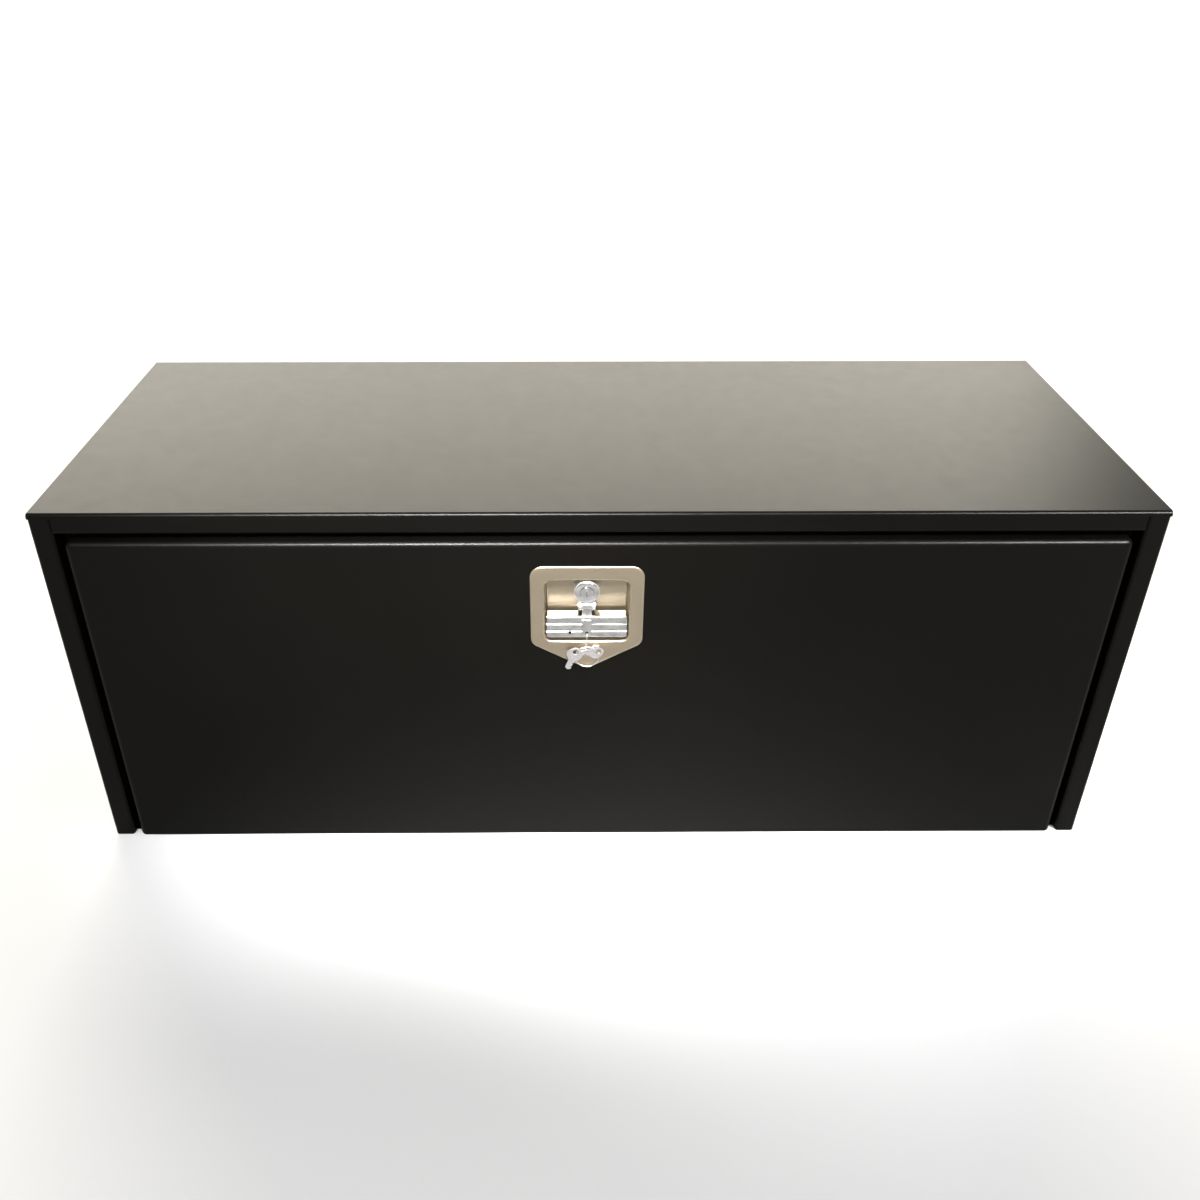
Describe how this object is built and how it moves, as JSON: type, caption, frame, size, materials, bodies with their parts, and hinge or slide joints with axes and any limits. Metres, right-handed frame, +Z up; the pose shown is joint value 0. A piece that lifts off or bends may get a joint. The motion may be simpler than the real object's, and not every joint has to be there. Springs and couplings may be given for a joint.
{
  "type": "truck tool box",
  "caption": "Black underbody truck tool box with a drop-down door, full-length hinge and a recessed folding T-handle latch with keys.",
  "frame": {"origin": "centre of the bottom face of the folded box, at the height of the floor's underside", "axes": "+X along the box, to the right seen from the front; +Y from the door to the back wall; +Z up"},
  "size_m": [1.2192, 0.468, 0.4572],
  "materials": {
    "black_powder_coat": "semi-gloss",
    "hinge_steel": "satin",
    "black_rubber": "matte",
    "stainless": "satin",
    "bright_chrome": "polished",
    "zinc_plate": "satin",
    "nickel_plate": "polished"
  },
  "bodies": {
    "box": {"roof_panel": "black_powder_coat", "back_panel": "black_powder_coat", "floor_panel": "black_powder_coat", "left_end_panel": "black_powder_coat", "right_end_panel": "black_powder_coat", "sill_angle": "black_powder_coat", "door_seal": "black_rubber", "hinge_box_leaf": "hinge_steel", "hinge_pin": "hinge_steel", "hinge_rivets": "hinge_steel"},
    "door": {"door_outer_panel": "black_powder_coat", "door_inner_panel": "black_powder_coat", "hinge_door_leaf": "hinge_steel", "latch_dish": "stainless", "latch_studs": "zinc_plate", "latch_seal": "black_rubber", "latch_nuts": "zinc_plate", "lock_housing": "zinc_plate", "lock_bezel": "bright_chrome", "housing_nut": "zinc_plate", "t_bar_pin": "bright_chrome"},
    "t_handle": {"t_bar": "bright_chrome", "key_ring": "nickel_plate", "key_tie": "nickel_plate", "front_key": "nickel_plate", "back_key": "nickel_plate"},
    "key_cylinder": {"key_plug": "bright_chrome"},
    "cam": {"cam_spindle": "zinc_plate", "latch_cam": "zinc_plate", "cam_washer": "zinc_plate", "cam_nut": "zinc_plate"}
  },
  "joints": [
    {"name": "door_hinge", "type": "hinge", "parent": "box", "child": "door", "pos_m": [0, -0.2246, 0.006], "axis": [1, 0, 0], "range_deg": [0, 90]},
    {"name": "handle_fold", "type": "hinge", "parent": "door", "child": "t_handle", "pos_m": [-0.0138, -0.222, 0.338], "axis": [-1, 0, 0], "range_deg": [0, 90]},
    {"name": "key_turn", "type": "hinge", "parent": "door", "child": "key_cylinder", "pos_m": [-0.0138, -0.226, 0.359], "axis": [0, -1, 0], "range_deg": [0, 90]},
    {"name": "cam_turn", "type": "hinge", "parent": "door", "child": "cam", "pos_m": [-0.0138, -0.2, 0.359], "axis": [0, -1, 0], "range_deg": [0, 90]}
  ]
}
